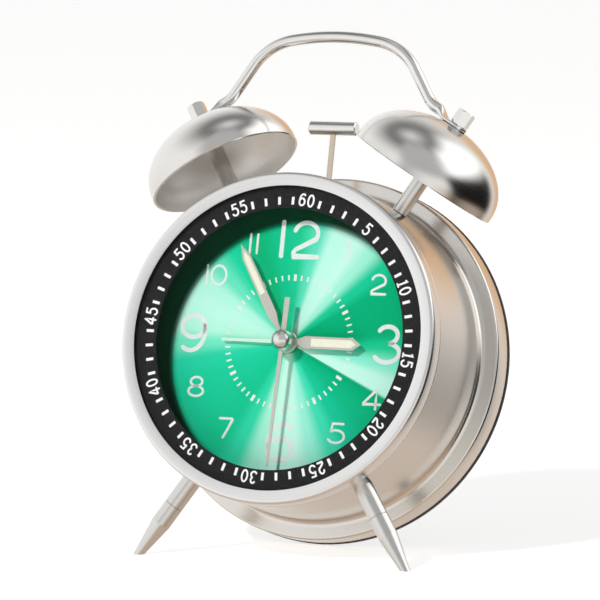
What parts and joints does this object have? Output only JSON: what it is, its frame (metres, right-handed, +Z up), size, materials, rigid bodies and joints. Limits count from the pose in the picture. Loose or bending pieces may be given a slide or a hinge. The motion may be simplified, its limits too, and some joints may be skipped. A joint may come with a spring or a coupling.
{
  "type": "alarm clock",
  "caption": "Round twin-bell desk alarm clock with leaning drum case, carrying handle, swinging hammer, recessed green dial and quartz movement.",
  "frame": {"origin": "centre of the outline box's underside, on the surface that the clock stands on", "axes": "+Z up, +Y from the dial towards the back, +X to the right seen from the front"},
  "size_m": [0.1126, 0.0768, 0.1569],
  "materials": {
    "satin_steel": "satin",
    "brushed_bezel": "brushed",
    "polished_steel": "polished",
    "glass": "clear",
    "ring_black": "satin",
    "dial_green": "satin",
    "black_plastic": "fine texture",
    "natural_plastic": "smooth",
    "brass": "satin",
    "hand_metal": "satin",
    "lume": "matte",
    "mint_paint": "satin",
    "copper_wire": "enamelled",
    "board": "matte",
    "battery_sleeve": "gloss",
    "zinc_steel": "satin"
  },
  "bodies": {
    "case": {"battery_cell": "battery_sleeve", "battery_contacts": "zinc_steel", "bell_motor": "zinc_steel", "bell_post_nuts": "zinc_steel", "bezel": "brushed_bezel", "case_shell": "satin_steel", "centre_nut": "brass", "chassis": "black_plastic", "circuit_board": "board", "coil": "copper_wire", "dial": "dial_green", "dial_spacer": "black_plastic", "front_lens": "glass", "hammer_bracket": "zinc_steel", "hammer_pin": "zinc_steel", "handle": "polished_steel", "left_bell": "satin_steel", "left_bell_nut": "polished_steel", "left_bell_post": "satin_steel", "left_leg": "satin_steel", "left_leg_collar": "satin_steel", "leg_nuts": "zinc_steel", "middle_plate": "natural_plastic", "minute_ring": "ring_black", "movement_cover": "natural_plastic", "movement_housing": "natural_plastic", "movement_screws": "zinc_steel", "quartz_crystal": "zinc_steel", "rear_cover": "black_plastic", "rear_screws": "zinc_steel", "right_bell": "satin_steel", "right_bell_nut": "polished_steel", "right_bell_post": "satin_steel", "right_leg": "satin_steel", "right_leg_collar": "satin_steel", "stator": "zinc_steel"},
    "second_hand": {"second_hand": "hand_metal", "hub_cap": "polished_steel", "second_wheel": "natural_plastic"},
    "minute_hand": {"minute_hand": "hand_metal", "minute_lume": "lume", "centre_wheel": "natural_plastic"},
    "hour_hand": {"hour_hand": "hand_metal", "hour_lume": "lume", "hour_wheel": "natural_plastic"},
    "alarm_hand": {"alarm_hand": "mint_paint", "alarm_wheel": "natural_plastic"},
    "third_wheel": {"third_wheel": "natural_plastic"},
    "step_wheel": {"step_wheel": "natural_plastic"},
    "rotor": {"rotor": "zinc_steel"},
    "time_setting": {"setting_wheel": "natural_plastic", "time_set_knob": "black_plastic"},
    "alarm_setting": {"alarm_pinion": "natural_plastic", "alarm_set_knob": "black_plastic"},
    "hammer": {"hammer_arm": "zinc_steel", "hammer_head": "polished_steel"},
    "motor_crank": {"motor_crank": "zinc_steel"},
    "alarm_switch": {"alarm_switch": "natural_plastic"},
    "battery_door": {"battery_door": "black_plastic"}
  },
  "joints": [
    {"name": "second_hand", "type": "hinge", "parent": "case", "child": "second_hand", "pos_m": [0, -0.02099, 0.06633], "axis": [0, 0.9669, -0.2552], "continuous": true},
    {"name": "minute_hand", "type": "hinge", "parent": "case", "child": "minute_hand", "pos_m": [0, -0.02002, 0.06607], "axis": [0, 0.9669, -0.2552], "continuous": true},
    {"name": "hour_hand", "type": "hinge", "parent": "case", "child": "hour_hand", "pos_m": [0, -0.01905, 0.06582], "axis": [0, 0.9669, -0.2552], "continuous": true},
    {"name": "third_wheel", "type": "hinge", "parent": "case", "child": "third_wheel", "pos_m": [0, -0.00414, 0.07138], "axis": [0, 0.9669, -0.2552], "continuous": true},
    {"name": "step_wheel", "type": "hinge", "parent": "case", "child": "step_wheel", "pos_m": [0, -0.00427, 0.05521], "axis": [0, 0.9669, -0.2552], "continuous": true},
    {"name": "rotor", "type": "hinge", "parent": "case", "child": "rotor", "pos_m": [0, -0.00777, 0.04977], "axis": [0, 0.9669, -0.2552], "continuous": true},
    {"name": "time_set_knob", "type": "hinge", "parent": "case", "child": "time_setting", "pos_m": [-0.012, 0.02252, 0.05484], "axis": [0, 0.9669, -0.2552], "continuous": true},
    {"name": "alarm_hand", "type": "hinge", "parent": "case", "child": "alarm_hand", "pos_m": [0, -0.01712, 0.06531], "axis": [0, 0.9669, -0.2552], "continuous": true},
    {"name": "alarm_set_knob", "type": "hinge", "parent": "case", "child": "alarm_setting", "pos_m": [0.012, 0.02252, 0.05484], "axis": [0, 0.9669, -0.2552], "continuous": true},
    {"name": "hammer_swing", "type": "hinge", "parent": "case", "child": "hammer", "pos_m": [0, 0.01339, 0.09862], "axis": [0, 0.9669, -0.2552], "range_deg": [-8.5, 8.5], "stiffness_Nm_per_rad": 0.003},
    {"name": "motor_spin", "type": "hinge", "parent": "case", "child": "motor_crank", "pos_m": [0, 0.01464, 0.09157], "axis": [0, 0.9669, -0.2552], "continuous": true},
    {"name": "alarm_switch", "type": "slide", "parent": "case", "child": "alarm_switch", "axis": [1, 0, 0], "range_m": [0, 0.004]},
    {"name": "battery_door", "type": "slide", "parent": "case", "child": "battery_door", "axis": [0, 0.9669, -0.2552], "range_m": [0, 0.02]}
  ],
  "couplings": [
    {"joint": "minute_hand", "follows": "second_hand", "ratio": 0.016667},
    {"joint": "hour_hand", "follows": "second_hand", "ratio": 0.0013889},
    {"joint": "third_wheel", "follows": "second_hand", "ratio": -0.13333},
    {"joint": "step_wheel", "follows": "second_hand", "ratio": -5},
    {"joint": "rotor", "follows": "second_hand", "ratio": 30},
    {"joint": "time_set_knob", "follows": "second_hand", "ratio": -0.0055556},
    {"joint": "alarm_set_knob", "follows": "alarm_hand", "ratio": -4}
  ]
}
